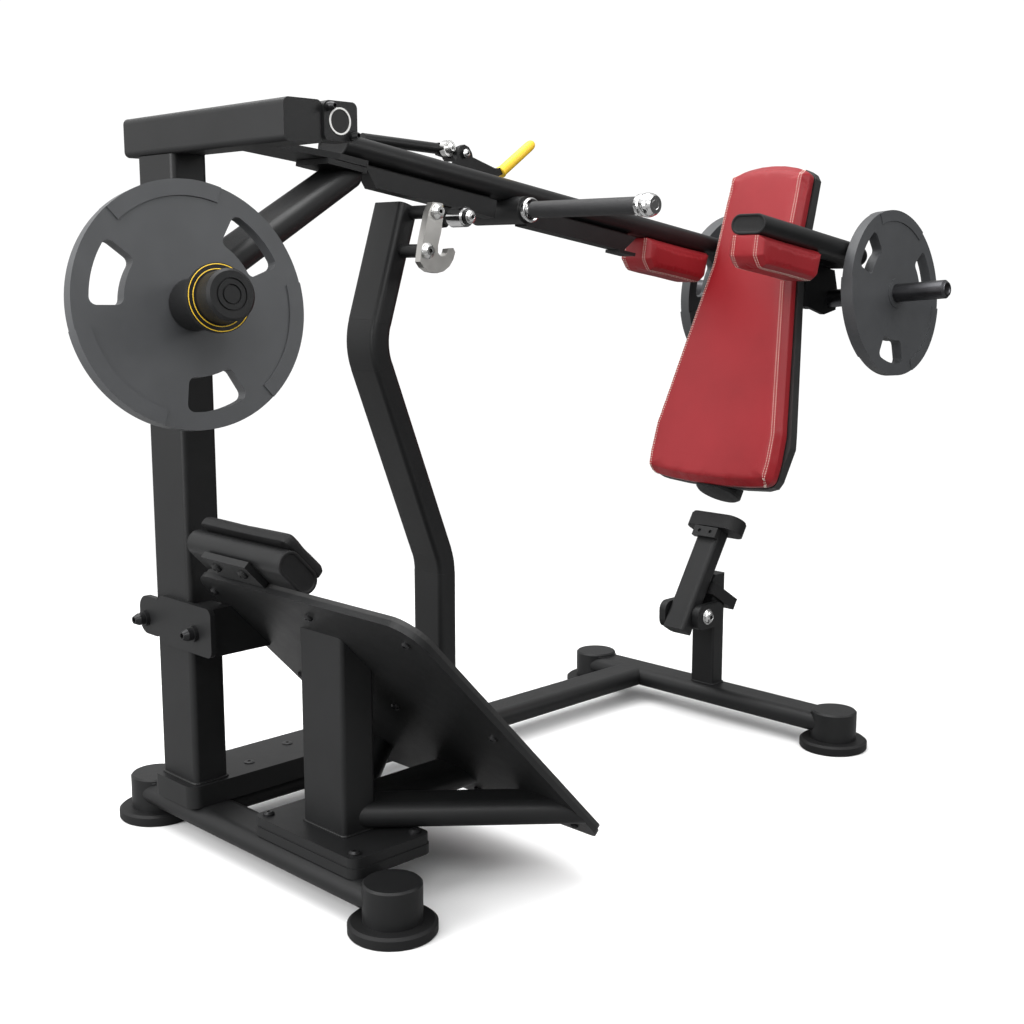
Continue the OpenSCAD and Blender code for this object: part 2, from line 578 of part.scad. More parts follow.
// ---- drawing -------------------------------------------------------------
module place() translate([-origin_x, -origin_y, 0]) children();
place() front_crossbar();
place() rear_crossbar();
place() floor_beam();
place() foot_cans();
place() foot_pads();
place() base_beam();
place() frame_bolts();
place() upright();
place() box_beam();
place() bearing_housings();
place() bearing_ring();
place() bearing_bolts();
place() curved_post();
place() hook_plate();
place() hook_standoffs();
place() hook_bolts();
place() column();
place() flange_plates();
place() footplate_struts();
place() tie_beam();
place() clamp_plates();
place() clamp_bolts();
place() footplate_steel();
place() footplate_rubber();
place() calf_tube();
place() calf_pad();
place() stop_post();
place() stop_ears();
place() stop_rest_block();
place() stop_pivot_bolt();
place() stop_tube();
place() stop_clamp_block();
place() stop_bumper();
place() pivot_shaft();
place() arm_plates();
place() arm_plate_bolts();
place() main_arm_tube();
place() under_channel();
place() counterweight_arm();
place() counterweight_spindle();
place() counterweight_collar();
place() counterweight_disc();
place() yoke();
place() horn_bars();
place() horn_hangers();
place() pad_spine();
place() back_board();
place() back_pad();
place() shoulder_pads();
place() pad_bumper();
place() handle_housing();
place() handle_bar();
place() handle_grip();
place() catch_bracket();
place() catch_roller();
place() release_lever();
place() lever_eye();
place() lever_grip();
place() near_plate();
place() far_plate();
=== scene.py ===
"""Looks for the pendulum squat machine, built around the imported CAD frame."""

import json
import math

import bmesh
import bpy
from mathutils import Matrix, Vector
from mathutils.bvhtree import BVHTree
from mathutils.kdtree import KDTree

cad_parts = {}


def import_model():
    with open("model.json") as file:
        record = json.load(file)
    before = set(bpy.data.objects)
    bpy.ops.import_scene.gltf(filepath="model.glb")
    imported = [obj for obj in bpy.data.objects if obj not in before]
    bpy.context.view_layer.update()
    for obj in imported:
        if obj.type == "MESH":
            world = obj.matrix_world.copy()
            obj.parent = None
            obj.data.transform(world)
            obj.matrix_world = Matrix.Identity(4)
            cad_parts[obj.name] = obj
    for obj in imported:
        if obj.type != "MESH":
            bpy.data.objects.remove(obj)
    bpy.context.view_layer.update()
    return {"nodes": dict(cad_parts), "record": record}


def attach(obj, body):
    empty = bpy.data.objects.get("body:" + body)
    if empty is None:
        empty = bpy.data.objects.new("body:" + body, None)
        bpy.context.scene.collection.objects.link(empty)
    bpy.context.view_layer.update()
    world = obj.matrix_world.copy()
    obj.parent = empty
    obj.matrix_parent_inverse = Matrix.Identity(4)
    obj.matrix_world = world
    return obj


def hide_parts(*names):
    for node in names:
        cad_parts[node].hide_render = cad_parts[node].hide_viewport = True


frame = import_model()

MM = 0.001
ORIGIN = Vector((869.79, -22.46, 0.0))          # machine millimetres at the frame's origin


def at(x, y, z):
    """A point given in machine millimetres, in the frame's metres."""
    return (Vector((x, y, z)) - ORIGIN) * MM


# ---- camera ---------------------------------------------------------------
LENS, SENSOR = 49.94, 36.0                      # millimetres
CAMERA_AT = (-1601, -2345, 1222)                # machine millimetres
CAMERA_YAW, CAMERA_PITCH = 45.22, 9.63          # degrees: from +X towards +Y, and downwards


def add_camera():
    data = bpy.data.cameras.new("camera")
    data.lens, data.sensor_width = LENS, SENSOR
    cam = bpy.data.objects.new("camera", data)
    bpy.context.scene.collection.objects.link(cam)
    yaw, pitch = math.radians(CAMERA_YAW), math.radians(CAMERA_PITCH)
    forward = Vector((math.cos(yaw) * math.cos(pitch), math.sin(yaw) * math.cos(pitch),
                      -math.sin(pitch)))
    right = Vector((math.sin(yaw), -math.cos(yaw), 0.0))
    turn = Matrix((right, right.cross(forward), -forward)).transposed().to_4x4()
    cam.matrix_world = Matrix.Translation(at(*CAMERA_AT)) @ turn
    bpy.context.scene.camera = cam


add_camera()


# ---- node materials -------------------------------------------------------
SOCKETS = {"metallic": "Metallic", "roughness": "Roughness", "coat": "Coat Weight",
           "coat_rough": "Coat Roughness", "spec": "Specular IOR Level",
           "sheen": "Sheen Weight", "sheen_rough": "Sheen Roughness"}


class Nodes:
    """A small helper that builds one material's node tree."""

    def __init__(self, name):
        self.mat = bpy.data.materials.new(name)
        self.mat.use_nodes = True
        self.tree = self.mat.node_tree
        self.shader = self.tree.nodes["Principled BSDF"]
        self.coord = self.add("ShaderNodeTexCoord").outputs["Object"]

    def add(self, kind, **values):
        node = self.tree.nodes.new(kind)
        for key, value in values.items():
            setattr(node, key, value)
        return node

    def link(self, a, b):
        self.tree.links.new(a, b)

    def noise(self, scale, detail=3.0, rough=0.5):
        node = self.add("ShaderNodeTexNoise")
        node.inputs["Scale"].default_value = scale
        node.inputs["Detail"].default_value = detail
        node.inputs["Roughness"].default_value = rough
        self.link(self.coord, node.inputs["Vector"])
        return node.outputs["Fac"]

    def cells(self, scale):
        node = self.add("ShaderNodeTexVoronoi")
        node.inputs["Scale"].default_value = scale
        self.link(self.coord, node.inputs["Vector"])
        return node.outputs["Distance"]

    def ramp(self, source, stops):
        node = self.add("ShaderNodeValToRGB")
        for element, (place, colour) in zip(node.color_ramp.elements, stops):
            element.position = place
            element.color = (*colour, 1.0)
        self.link(source, node.inputs["Fac"])
        return node.outputs["Color"]

    def span(self, source, low, high):
        node = self.add("ShaderNodeMapRange")
        node.inputs["To Min"].default_value = low
        node.inputs["To Max"].default_value = high
        self.link(source, node.inputs["Value"])
        return node.outputs["Result"]

    def math(self, op, a, b):
        node = self.add("ShaderNodeMath", operation=op)
        for socket, value in zip(node.inputs, (a, b)):
            if isinstance(value, (int, float)):
                socket.default_value = value
            else:
                self.link(value, socket)
        return node.outputs[0]

    def bump(self, height, strength, distance):
        node = self.add("ShaderNodeBump")
        node.inputs["Strength"].default_value = strength
        node.inputs["Distance"].default_value = distance
        self.link(height, node.inputs["Height"])
        self.link(node.outputs["Normal"], self.shader.inputs["Normal"])

    def set(self, **values):
        for key, value in values.items():
            self.shader.inputs[SOCKETS[key]].default_value = value


def finish(name, tone, rough, grain, tint=1.3, metallic=0.0, mottle=14.0, **extra):
    """One solid finish: (r, g, b) tone, (low, high) roughness, (scale, strength, depth) grain."""
    n = Nodes(name)
    lighter = tuple(min(1.0, tint * c) for c in tone)
    n.link(n.ramp(n.noise(mottle, 4.0), [(0.3, tone), (0.7, lighter)]),
           n.shader.inputs["Base Color"])
    n.link(n.span(n.noise(4.0 * mottle), *rough), n.shader.inputs["Roughness"])
    n.bump(n.noise(grain[0], 2.0, 0.6), grain[1], grain[2])
    n.set(metallic=metallic, **extra)
    return n.mat


def vinyl():
    """Red upholstery vinyl with a leather grain."""
    n = Nodes("red_vinyl")
    n.link(n.ramp(n.noise(7.0, 3.0), [(0.3, (0.225, 0.006, 0.010)), (0.7, (0.26, 0.009, 0.014))]),
           n.shader.inputs["Base Color"])
    n.link(n.span(n.noise(120.0), 0.36, 0.48), n.shader.inputs["Roughness"])
    n.bump(n.math("ADD", n.cells(620.0), n.math("MULTIPLY", n.noise(1500.0), 0.5)), 0.4, 0.0005)
    n.set(spec=0.33, sheen=0.04, sheen_rough=0.4)
    return n.mat


def tread():
    """Rubber footplate cover with small raised studs."""
    n = Nodes("foot_rubber")
    n.link(n.ramp(n.noise(14.0), [(0.3, (0.012, 0.012, 0.012)), (0.7, (0.018, 0.018, 0.018))]),
           n.shader.inputs["Base Color"])
    n.link(n.span(n.noise(60.0), 0.5, 0.68), n.shader.inputs["Roughness"])
    n.bump(n.math("ADD", n.cells(90.0), n.noise(900.0)), 0.5, 0.0012)
    return n.mat


BLACK_RUBBER = (0.007, 0.007, 0.0073)
MATS = {
    "powder_coat": finish("powder_coat", (0.0085, 0.0087, 0.0090), (0.36, 0.46),
                          (1300.0, 0.3, 0.0005), mottle=9.0, spec=0.27),
    "rubber_black": finish("rubber_black", BLACK_RUBBER, (0.48, 0.62), (900.0, 0.3, 0.0005),
                           spec=0.25),
    "foot_rubber": tread(),
    "grip_rubber": finish("grip_rubber", (0.011, 0.011, 0.012), (0.5, 0.65),
                          (500.0, 0.9, 0.0009)),
    "zinc_bolt": finish("zinc_bolt", (0.62, 0.62, 0.61), (0.12, 0.24), (600.0, 0.08, 0.0002),
                        tint=1.15, metallic=1.0),
    "black_bolt": finish("black_bolt", (0.02, 0.02, 0.021), (0.25, 0.4),
                         (800.0, 0.15, 0.0003), metallic=0.6),
    "nickel_plate": finish("nickel_plate", (0.50, 0.49, 0.47), (0.26, 0.4),
                           (500.0, 0.15, 0.0003), tint=1.12, metallic=1.0),
    "horn_steel": finish("horn_steel", (0.075, 0.075, 0.08), (0.26, 0.38),
                         (700.0, 0.12, 0.0003), metallic=1.0),
    "chrome_steel": finish("chrome_steel", (0.66, 0.66, 0.66), (0.08, 0.16),
                           (500.0, 0.05, 0.0002), tint=1.1, metallic=1.0),
    "white_ring": finish("white_ring", (0.75, 0.75, 0.73), (0.3, 0.4), (400.0, 0.1, 0.0003),
                         tint=1.05),
    "plate_iron": finish("plate_iron", (0.050, 0.052, 0.055), (0.38, 0.5),
                         (1100.0, 0.3, 0.0005), tint=1.15, mottle=16.0),
    "red_vinyl": vinyl(),
    "board_black": finish("board_black", (0.014, 0.014, 0.014), (0.42, 0.55),
                          (1000.0, 0.35, 0.0006)),
    "yellow_grip": finish("yellow_grip", (0.90, 0.58, 0.035), (0.35, 0.5),
                          (900.0, 0.05, 0.0002), tint=1.05),
    "cream_thread": finish("cream_thread", (0.80, 0.74, 0.64), (0.6, 0.75),
                           (2500.0, 0.5, 0.0003), tint=1.15, mottle=60.0),
}
slot_of = {part["node"]: part["material_slot"] for part in frame["record"]["subparts"]}
for name, obj in frame["nodes"].items():
    obj.data.materials.clear()
    obj.data.materials.append(MATS[slot_of[name]])


# ---- places ---------------------------------------------------------------
def local(origin, turn_y=0.0, turn_z=0.0):
    """A frame at a machine point, leaning about Y (degrees), in the frame's metres."""
    return (Matrix.Translation(at(*origin)) @ Matrix.Rotation(math.radians(turn_z), 4, "Z")
            @ Matrix.Rotation(math.radians(turn_y), 4, "Y"))


ARM = local((740, 0, 1461), 8.68)                # the swinging arm; its tubes run along X
PAD = local((1457, 0, 671), 17.3)               # the back pad; X runs into it, Z up it
FOOT = local((-60, 0, 612.35), 46.2)            # the footplate
COLLAR = local((-192, -113.5, 1162), turn_z=-6.7) @ Matrix.Rotation(math.radians(82.2), 4, "X")
TUBE_WIDE, TUBE_THICK = 105, 52                 # flat-oval tube


def spot(matrix, x, y, z):
    """A point given in a local frame's millimetres."""
    return matrix @ (Vector((x, y, z)) * MM)


def keep(name, mesh, slot, body, smooth=True):
    """Makes an object of a mesh, with its finish, that moves with a body."""
    obj = bpy.data.objects.new(name, mesh)
    bpy.context.scene.collection.objects.link(obj)
    mesh.materials.append(MATS[slot])
    if smooth:
        mesh.shade_smooth()
    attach(obj, body)
    return obj


def mesh_of(name, points, faces):
    """A mesh with its faces turned outwards."""
    mesh = bpy.data.meshes.new(name)
    mesh.from_pydata([tuple(p) for p in points], [], faces)
    mesh.validate()
    build = bmesh.new()
    build.from_mesh(mesh)
    bmesh.ops.recalc_face_normals(build, faces=build.faces)
    build.to_mesh(mesh)
    build.free()
    return mesh


# ---- turned parts ---------------------------------------------------------
def turned(name, place, direction, profile, slot, body, sides=48, hex_rings=()):
    """A lathe shape: profile of (radius, height) in mm. The rings in hex_rings are six-sided,
    and the socket that they wall takes the black rubber finish as painted shade in the recess."""
    sector = math.pi / 3
    axis = Vector(direction).normalized()
    turn = axis.to_track_quat("Z", "Y").to_matrix()
    points, faces = [], []
    for k, (radius, height) in enumerate(profile):
        for j in range(sides):
            angle = 2 * math.pi * j / sides
            r = radius
            if k in hex_rings:
                r = radius / math.cos((angle + sector / 2) % sector - sector / 2)
            points.append(Vector(place) + turn @ (Vector(
                (r * math.cos(angle), r * math.sin(angle), height)) * MM))
    for k in range(len(profile) - 1):
        for j in range(sides):
            a, b = k * sides + j, k * sides + (j + 1) % sides
            faces.append((a, b, b + sides, a + sides))
    faces.append(tuple(range(sides))[::-1])
    faces.append(tuple((len(profile) - 1) * sides + j for j in range(sides)))
    obj = keep(name, mesh_of(name, points, faces), slot, body)
    if hex_rings:
        # painted shade: the hex rings' faces and the end face inside the socket get the black
        # rubber finish
        obj.data.materials.append(MATS["rubber_black"])
        first = min(hex_rings) * sides
        for face in obj.data.polygons:
            if min(face.vertices) >= first:
                face.material_index = 1
    return obj


def dome_bolt(name, place, direction, r, slot, body, washer=True):
    """A button-head screw on a washer, with its hexagon socket cut in; the socket is painted
    black as painted shade.
    """
    rim = [(r * 1.22, 0.0), (r * 1.24, 1.0), (r * 1.2, 2.2), (r * 1.02, 2.4)] if washer else []
    base = 2.4 if washer else 0.0
    dome = [(r, base), (r, base + 0.10 * r)] + [
        (r * math.cos(a), base + 0.10 * r + 0.52 * r * math.sin(a))
        for a in (math.radians(d) for d in (15, 30, 45, 58))]
    top = dome[-1][1]
    socket = [(0.40 * r, top + 0.05 * r), (0.37 * r, top - 0.02 * r), (0.35 * r, top - 0.30 * r)]
    profile = rim + dome + socket
    last = len(profile) - 1
    # the last two rings wall the socket, which turned() gives the black rubber finish as painted
    # shade
    return turned(name, place, direction, profile, slot, body, hex_rings=(last - 1, last))


# ---- cushions -------------------------------------------------------------
def resample(corners, step, ease=3):
    """A closed outline with an even spacing, its corners eased."""
    points = []
    count = len(corners)
    for k in range(count):
        a, b = Vector(corners[k]), Vector(corners[(k + 1) % count])
        pieces = max(1, round((b - a).length / step))
        points += [a.lerp(b, j / pieces) for j in range(pieces)]
    for _ in range(ease):
        points = [(points[k - 1] + 2 * points[k] + points[(k + 1) % len(points)]) / 4
                  for k in range(len(points))]
    return points


def outward(points):
    """The outward direction at each point of a closed, anticlockwise outline."""
    count = len(points)
    out = []
    for k in range(count):
        d = points[(k + 1) % count] - points[k - 1]
        out.append(Vector((d.y, -d.x)).normalized())
    return out


def ringed(outline, rings, to_world, ends=0.0):
    """A closed shape from an outline: each ring is (inset, height) in mm, with a deeper inset
    at the two ends where asked."""
    normals = outward(outline)
    count = len(outline)
    points, faces = [], []
    for inset, height in rings:
        for p, n in zip(outline, normals):
            q = p - n * inset * (1.0 + ends * n.y ** 4)
            points.append(to_world(q.x, q.y, height))
    for k in range(len(rings) - 1):
        for j in range(count):
            a, b = k * count + j, k * count + (j + 1) % count
            faces.append((a, b, b + count, a + count))
    faces.append(tuple(range(count))[::-1])
    last = (len(rings) - 1) * count
    faces.append(tuple(last + j for j in range(count)))
    return points, faces


CLOTH_FRAMES = 20


def stuff(obj, voxel, cap, pressure=4.0):
    """Remeshes a cushion and swells it as cloth, each point by no more than cap; then lays the
    swell back on the sewn shape, so that its creases stay crisp."""
    bpy.context.view_layer.objects.active = obj
    sewn = BVHTree.FromObject(obj, bpy.context.evaluated_depsgraph_get())
    remesh = obj.modifiers.new("remesh", "REMESH")
    remesh.mode, remesh.voxel_size = "VOXEL", voxel
    apply(obj, remesh)
    start = [v.co.copy() for v in obj.data.vertices]
    obj.data.attributes.new("swell", "FLOAT_VECTOR", "POINT")
    cloth = obj.modifiers.new("cloth", "CLOTH")
    cloth.settings.use_pressure = True
    cloth.settings.uniform_pressure_force = pressure
    cloth.settings.effector_weights.gravity = 0.0
    cloth.settings.tension_stiffness = cloth.settings.compression_stiffness = 25.0
    cloth.settings.bending_stiffness = 2.0
    cloth.point_cache.frame_start, cloth.point_cache.frame_end = 1, CLOTH_FRAMES
    for step in range(1, CLOTH_FRAMES + 1):
        bpy.context.scene.frame_set(step)
    apply(obj, cloth)
    bpy.context.scene.frame_set(1)
    swell = obj.data.attributes["swell"].data
    for v, co, moved in zip(obj.data.vertices, start, swell):
        move = v.co - co
        moved.vector = move * min(1.0, cap / max(move.length, 1e-9))
        v.co = co
    subdivide = obj.modifiers.new("subdivide", "SUBSURF")
    subdivide.levels = subdivide.render_levels = 1
    apply(obj, subdivide)
    swell = obj.data.attributes["swell"].data
    for v, moved in zip(obj.data.vertices, swell):
        hit, _, _, _ = sewn.find_nearest(v.co)
        v.co = hit + Vector(moved.vector)
    obj.data.attributes.remove(obj.data.attributes["swell"])
    smooth = obj.modifiers.new("smooth", "SMOOTH")
    smooth.factor, smooth.iterations = 0.5, 1
    apply(obj, smooth)


def apply(obj, modifier):
    with bpy.context.temp_override(object=obj, active_object=obj, selected_objects=[obj]):
        bpy.ops.object.modifier_apply(modifier=modifier.name)


def press_groove(obj, line, depth, width):
    """Pulls the surface in along a sewn line of world points."""
    tree = KDTree(len(line))
    for k, p in enumerate(line):
        tree.insert(p, k)
    tree.balance()
    normals = [v.normal.copy() for v in obj.data.vertices]
    for v, n in zip(obj.data.vertices, normals):
        _, _, gap = tree.find(v.co)
        if gap < 3 * width:
            v.co -= n * depth * math.exp(-(gap / width) ** 2)


def stitches(name, cushion, rows, body, length=4.0, pitch=7.0, r=0.7):
    """Rows of thread dashes laid on a cushion; each row is a list of world points."""
    tree = BVHTree.FromObject(cushion, bpy.context.evaluated_depsgraph_get())
    points, faces = [], []
    for row in rows:
        walked = 0.0
        for a, b in zip(row, row[1:]):
            gap = (b - a).length
            while 0 < gap and walked <= gap:
                hit, normal, _, _ = tree.find_nearest(a.lerp(b, walked / gap))
                along = (b - a).normalized()
                walked += pitch * MM
                if hit is not None:
                    add_dash(points, faces, hit, along, normal, length, r)
            walked = max(0.0, walked - gap)
    return keep(name, mesh_of(name, points, faces), "cream_thread", body)


def add_dash(points, faces, place, along, normal, length, r):
    """One stitch: a short round dash with its ends narrowed and sunk."""
    side = along.cross(normal).normalized()
    base, around = len(points), 6
    stations = ((-1.0, 0.35), (-0.6, 1.0), (0.6, 1.0), (1.0, 0.35))
    for u, w in stations:
        mid = place + along * (u * length / 2 * MM) + normal * (0.25 * r * w * MM)
        for c in range(around):
            t = 2 * math.pi * c / around
            points.append(mid + (side * math.cos(t) + normal * math.sin(t)) * (r * w * MM))
    for k in range(len(stations) - 1):
        for c in range(around):
            i, j = base + around * k + c, base + around * k + (c + 1) % around
            faces.append((i, j, j + around, i + around))
    faces.append(tuple(base + c for c in range(around))[::-1])
    last = base + around * (len(stations) - 1)
    faces.append(tuple(last + c for c in range(around)))


# half of the back pad's outline, (y, z) in the pad's frame, from its bottom to its top
PAD_HALF = [(60, -15), (130, -11), (186, -4), (203, 3), (209, 16), (213, 60), (211, 140),
            (207, 160), (133, 600), (130, 760), (127, 848), (123, 860), (108, 868), (80, 877),
            (40, 884)]
PAD_EDGE = [(0, -16)] + PAD_HALF + [(0, 886)] + [(-y, z) for y, z in reversed(PAD_HALF)]
PAD_BACK = 49.6                                 # the cushion's back, just off the board


def pad_spot(y, z, depth):
    return spot(PAD, depth, y, z)


def back_cushion():
    """The tapering back pad: a flat front panel, a bevelled edge, two sewn rows at each side."""
    edge = resample(PAD_EDGE, 6.0, 2)
    rings = [(2, PAD_BACK), (0, 46), (-0.5, 36), (0, 25), (1.5, 21.5), (9, 4.5), (11.5, 2.2),
             (15, 1.2), (24, 0.8), (40, 0.4)]
    points, faces = ringed(edge, rings, pad_spot, ends=0.9)
    obj = keep("back_cushion", mesh_of("back_cushion", points, faces), "red_vinyl", "arm")
    stuff(obj, 0.0055, 0.003)
    normals = outward(edge)
    rows = []
    for inset in (14.0, 21.0):
        for side in (1, -1):
            run = sorted((p - n * inset for p, n in zip(edge, normals)
                          if side * p.x > 95 and 26 < p.y < 842), key=lambda q: q.y)
            low, high = run[0].x, run[-1].x
            run = ([(low, -40, 30), (low, -13, 12), (low, 6, 0)] + [(*q, 0) for q in run]
                   + [(high, 862, 0), (high, 880, 12), (high, 910, 30)])
            rows.append([pad_spot(*q) for q in run])
    press_groove(obj, [p for row in rows for p in densify(row)], 0.0009, 0.003)
    flat_back(obj, PAD, PAD_BACK)
    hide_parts("back_pad")
    stitches("back_cushion_stitches", obj, rows, "arm")


def densify(row, step=0.003):
    """A line of points with extra ones between, no further apart than about a step."""
    out = []
    for a, b in zip(row, row[1:]):
        pieces = max(1, int((b - a).length / step))
        out += [a.lerp(b, k / pieces) for k in range(pieces)]
    return out


def flat_back(obj, matrix, depth):
    """Flattens the back of a cushion against the board it is fixed to."""
    inverse = matrix.inverted()
    for v in obj.data.vertices:
        p = inverse @ v.co
        if p.x > depth * MM:
            p.x = depth * MM
            v.co = matrix @ p


def shoulder_cushion(name, start, y, height):
    """A block pad under an arm tube, its rear cut to the lean of the back pad's panel."""
    reach, lean = 930.0 - 0.6 - start, 0.1516
    rear_top, rear_low = reach - lean * TUBE_THICK, reach - lean * (TUBE_THICK + height)
    side = [(-4, height), (-4, 25), (22, -1.5), (rear_low - 14, -1.5), (rear_low + 3, 14),
            (rear_top, height)]
    edge = resample(side, 4.0, 1)

    def world(x, z, across):
        return spot(ARM, start + x, y + across, z - TUBE_THICK - height)

    half = [(0, 36), (0.8, 39), (9, 50.5), (11, 52.2), (15, 53), (28, 53)]
    rings = [(inset, -across) for inset, across in half[::-1]] + half
    points, faces = ringed(edge, rings, world)
    obj = keep(name, mesh_of(name, points, faces), "red_vinyl", "arm")
    stuff(obj, 0.0045, 0.0018)
    to_arm, top = ARM.inverted(), -(TUBE_THICK + 0.2) * MM
    for v in obj.data.vertices:
        p = to_arm @ v.co
        if p.z > top:
            p.z = top
            v.co = ARM @ p
    rows = [[world(*p, across) for p in edge if (p.x < 20 and p.y < height - 2) or p.y < 14]
            for across in (-37.5, -31.0, 31.0, 37.5)]
    press_groove(obj, [p for row in rows for p in densify(row)], 0.0008, 0.003)
    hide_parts("shoulder_pads")
    stitches(name + "_stitches", obj, rows, "arm")


def calf_cushion():
    """The flat rubber pad on the roller tube above the footplate."""
    wide, long, round_r = 61, 150, 14
    corners = []
    for cx, cy, first in ((1, 1, 0), (-1, 1, 90), (-1, -1, 180), (1, -1, 270)):
        for k in range(5):
            a = math.radians(first + 22.5 * k)
            corners.append((cx * (wide - round_r) + round_r * math.cos(a),
                            cy * (long - round_r) + round_r * math.sin(a)))

    def world(x, y, up):
        return spot(FOOT, -20 + x, -41 + y, 74 + up)

    rings = [(2, 0.2), (0.5, 2), (0.5, 12), (2, 17), (9, 23), (16, 24.6), (40, 25)]
    points, faces = ringed(resample(corners, 6.0), rings, world)
    obj = keep("calf_cushion", mesh_of("calf_cushion", points, faces), "rubber_black", "frame")
    stuff(obj, 0.005, 0.0015)
    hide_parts("calf_pad")


back_cushion()
shoulder_cushion("near_shoulder_cushion", 647.0, -184.0, 78.0)
shoulder_cushion("far_shoulder_cushion", 657.0, 184.0, 83.0)
calf_cushion()


# ---- end caps, screws and small turned parts ------------------------------
def oval_points(steps=14):
    """The outline of the flat-oval tube."""
    out, r = [], TUBE_THICK / 2
    for side, first in ((1, -90), (-1, 90)):
        for k in range(steps + 1):
            a = math.radians(first + 180.0 * k / steps)
            out.append(Vector((side * (TUBE_WIDE / 2 - r) + r * math.cos(a), r * math.sin(a))))
    return out


def end_cap(name, matrix, body):
    """A pressed-in plastic end cap: a round rim with a sunken panel. Local +Z points out."""
    rings = [(0.4, -2), (0, 0), (0, 3.2), (0.8, 4.4), (2.2, 5), (5, 5), (6.2, 4.2), (6.8, 2.4),
             (8, 2.0), (20, 2.0)]
    points, faces = ringed(oval_points(), rings, lambda x, y, z: spot(matrix, x, y, z))
    keep(name, mesh_of(name, points, faces), "rubber_black", body)


def facing(matrix, x, y, z, out, level):
    """A frame at a local point, +Z along out and +X along level (both local directions)."""
    z_axis = (matrix.to_3x3() @ Vector(out)).normalized()
    x_axis = (matrix.to_3x3() @ Vector(level)).normalized()
    turn = Matrix((x_axis, z_axis.cross(x_axis), z_axis)).transposed().to_4x4()
    return Matrix.Translation(spot(matrix, x, y, z)) @ turn


for name, x, y in (("near_leg_cap", 647.4, -188), ("main_arm_cap", -374, 188)):
    end_cap(name, facing(ARM, x, y, -TUBE_THICK / 2, (-1, 0, 0), (0, -1, 0)), "arm")
for name, y, out in (("calf_tube_cap_near", -195, -1), ("calf_tube_cap_far", 112, 1)):
    end_cap(name, facing(FOOT, -20, y, 48, (0, out, 0), (1, 0, 0)), "frame")

# painted shade: the socket in the chrome end cap (rings 15 and 16) takes the black rubber finish
turned("handle_end_cap", at(879, -252, 1366), (0, -1, 0),
       [(20.5, -2), (24.4, -1), (25, 0), (25, 10), (24.3, 11), (24.2, 13), (26.2, 15), (27, 19),
        (27, 26), (26, 31.5), (23.4, 36.5), (19.4, 40.4), (14.6, 43), (11.6, 44), (9.6, 44.1),
        (8.8, 43.2), (8.2, 33)], "chrome_steel", "handle", hex_rings=(15, 16))
for k, (y, out, r) in enumerate(((91, -1, 28.5), (290, 1, 23.5))):
    turned(f"handle_ring_{k}", at(879, y, 1366), (0, out, 0),
           [(r - 6, -3), (r, -2), (r + 0.8, -1), (r + 0.8, 4), (r - 0.6, 6), (r - 4, 6.4),
            (r - 6, 5), (15, 4.6)], "chrome_steel", "handle")

# name, place, side it faces, radius, slot, body
SCREWS = [
    ("stop_pivot_head", (1416, -58.2, 298), -1, 17.5, "chrome_steel", "frame"),
    ("stop_pivot_head_far", (1416, 58.2, 298), 1, 15.5, "chrome_steel", "frame"),
    ("hook_head_0", (514, 51.8, 1266), -1, 14.5, "chrome_steel", "frame"),
    ("hook_nut_0", (514, 240.0, 1266), 1, 12.0, "black_bolt", "frame"),
    ("hook_head_1", (545, 51.8, 1352), -1, 14.5, "chrome_steel", "frame"),
    ("hook_nut_1", (545, 240.0, 1352), 1, 12.0, "black_bolt", "frame"),
    ("lever_eye_head", (730, 212.8, 1508), -1, 9.2, "chrome_steel", "lever"),
    ("lever_pin_head", (764, 191.8, 1497), -1, 8.5, "chrome_steel", "arm"),
    ("roller_pin_head", (650, 57.8, 1343), -1, 12.5, "chrome_steel", "arm"),
]
for name, place, side, r, slot, body in SCREWS:
    dome_bolt(name, at(*place), (0, side, 0), r, slot, body)

# sleeve of the yellow lever: a dipped grip with a bead at its mouth and a round tip
sleeve = turned("lever_sleeve", at(926, 242, 1463), (113, 0, 77),
                [(11.2, -2), (14.2, -1.5), (15.0, 1), (14.6, 4), (13.3, 6), (13.2, 60),
                 (12.9, 118), (12.4, 127), (10.8, 133), (8.0, 137), (4.2, 139.2), (0.6, 139.8)],
                "yellow_grip", "lever")
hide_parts("lever_grip")


HORN_TILT = math.radians(4.8)                   # the weight bars rise a little outwards
HORN_ROOT = Vector((1929.7, 0, 1162 - 288 * math.tan(HORN_TILT)))


def horn_details(word, side):
    """The turned tip of a weight bar, and the raised hubs of the plate on it."""
    out = Vector((0, side * math.cos(HORN_TILT), math.sin(HORN_TILT)))
    turned(word + "_horn_cap", at(*(HORN_ROOT + out * 439.0)), out,
           [(19.5, -1), (20.2, 0.2), (19.4, 1.4), (13, 1.8), (12.4, 0.9), (3, 0.9)],
           "horn_steel", "arm")
    hub_ring(word + "_plate_hub", at(*(HORN_ROOT + out * 286.0)), out, word + "_plate")
    hub_ring(word + "_plate_hub_back", at(*(HORN_ROOT + out * 256.7)), -out, word + "_plate")


def hub_ring(name, place, out, body, inner=26.0, outer=38.0, height=3.0, sides=64):
    """A low turned ring, hollow in the middle."""
    profile = [(inner, 0), (inner, height - 0.8), (inner + 0.8, height), (outer - 1.5, height),
               (outer, height - 1.2), (outer + 0.8, 0)]
    turn = out.normalized().to_track_quat("Z", "Y").to_matrix()
    points, faces = [], []
    for radius, up in profile:
        for j in range(sides):
            a = 2 * math.pi * j / sides
            points.append(place + turn @ (Vector(
                (radius * math.cos(a), radius * math.sin(a), up)) * MM))
    rows = len(profile)
    for k in range(rows):
        for j in range(sides):
            a, b = k * sides + j, k * sides + (j + 1) % sides
            c, d = (k + 1) % rows * sides + (j + 1) % sides, (k + 1) % rows * sides + j
            faces.append((a, b, c, d))
    keep(name, mesh_of(name, points, faces), "plate_iron", body)


for word, side in (("near", -1), ("far", 1)):
    horn_details(word, side)


